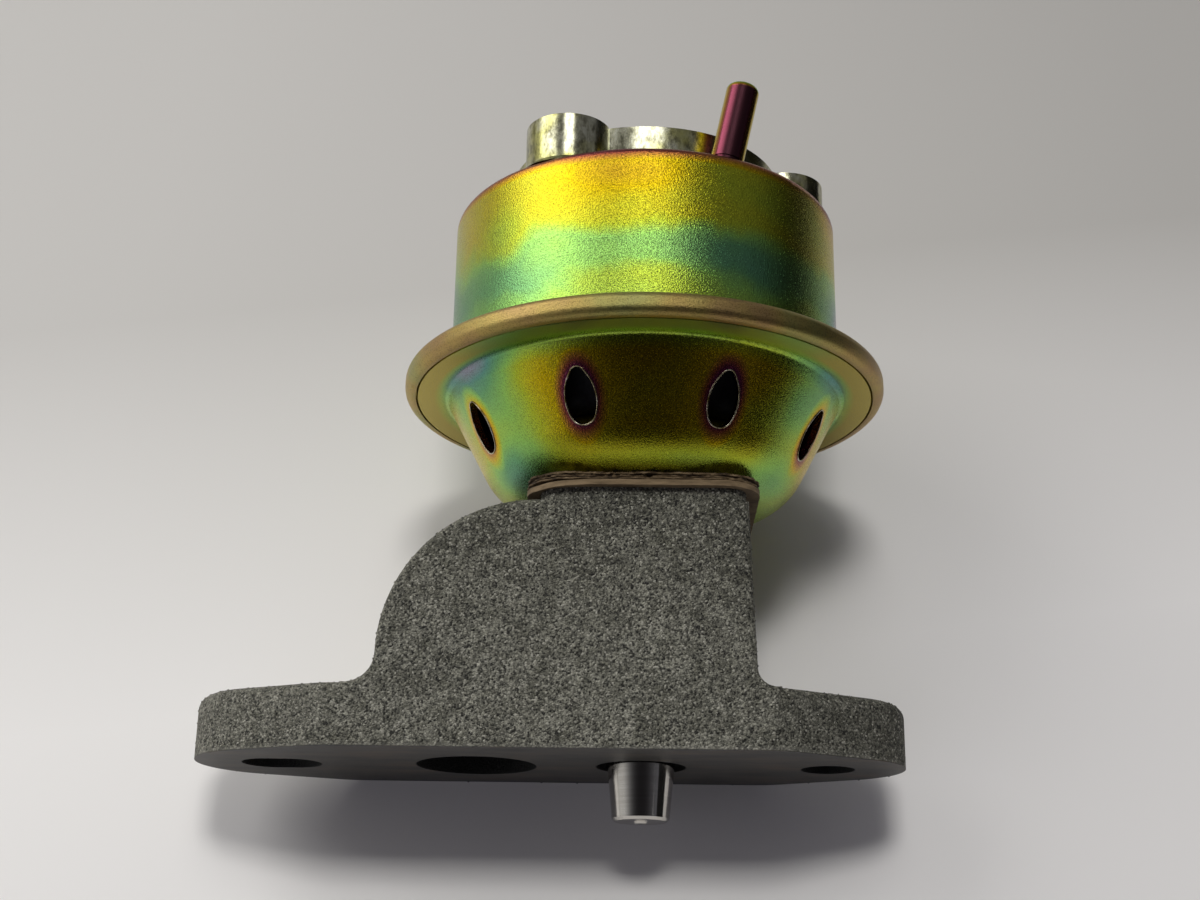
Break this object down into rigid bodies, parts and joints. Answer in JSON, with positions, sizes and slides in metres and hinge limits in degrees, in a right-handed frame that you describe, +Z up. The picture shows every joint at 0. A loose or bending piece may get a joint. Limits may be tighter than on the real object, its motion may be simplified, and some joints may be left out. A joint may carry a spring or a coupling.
{
  "type": "egr valve",
  "caption": "Vacuum-operated exhaust gas recirculation valve with an elbow casting, tapered pintle, diaphragm can and lift-sensor seat.",
  "frame": {"origin": "where the axis of the stem meets the mounting face under the flange", "axes": "+Z up the stem, towards the sensor seat; +X along the flange towards the round bolt hole; +Y across the flange, away from the side that holds the vacuum nipple"},
  "size_m": [0.1154, 0.0828, 0.1201],
  "materials": {
    "casting": "rough sand-cast iron, dark grey, machined underneath",
    "stainless_steel": "turned stainless steel",
    "pintle_steel": "fine-turned polished steel",
    "sintered_bronze": "sintered bronze",
    "packing": "filled seal plastic",
    "gasket_fibre": "tan compressed fibre with frayed edges",
    "shell_zinc": "yellow zinc dichromate, iridescent",
    "clear_zinc": "clear zinc plate",
    "screw_zinc": "zinc-plated steel",
    "diaphragm_rubber": "black fabric-reinforced rubber",
    "button_plastic": "black moulded plastic",
    "spring_steel": "oil-tempered spring wire",
    "can_zinc": "golden yellow zinc dichromate, iridescent",
    "base_zinc": "bright silver zinc with a yellow tint",
    "seal_rubber": "black rubber",
    "nipple_zinc": "purple and gold iridescent zinc dichromate",
    "braze_brass": "brazing fillet"
  },
  "bodies": {
    "housing": {"valve_body": "casting", "seat_ring": "stainless_steel", "stem_bushing": "sintered_bronze", "heat_shield": "stainless_steel", "stem_seal": "packing", "seal_retainer": "stainless_steel", "base_gasket_lower": "gasket_fibre", "base_gasket_upper": "gasket_fibre", "lower_shell": "shell_zinc", "clamp_plate": "clear_zinc", "shell_screws": "screw_zinc", "diaphragm": "diaphragm_rubber", "return_spring": "spring_steel", "spring_seat": "clear_zinc", "upper_can": "can_zinc", "sensor_base": "base_zinc", "base_seal": "seal_rubber", "vacuum_nipple": "nipple_zinc", "nipple_collar": "braze_brass"},
    "stem_assembly": {"valve_pintle": "pintle_steel", "valve_stem": "stainless_steel", "lower_plate": "clear_zinc", "spring_cup": "clear_zinc", "stem_washer": "clear_zinc", "sensor_button": "button_plastic"}
  },
  "joints": [
    {"name": "stem_lift", "type": "slide", "parent": "housing", "child": "stem_assembly", "axis": [0, 0, 1], "range_m": [0, 0.0076], "stiffness_N_per_m": 2500, "springref_m": -0.01, "deforming": ["return_spring", "diaphragm"]}
  ]
}
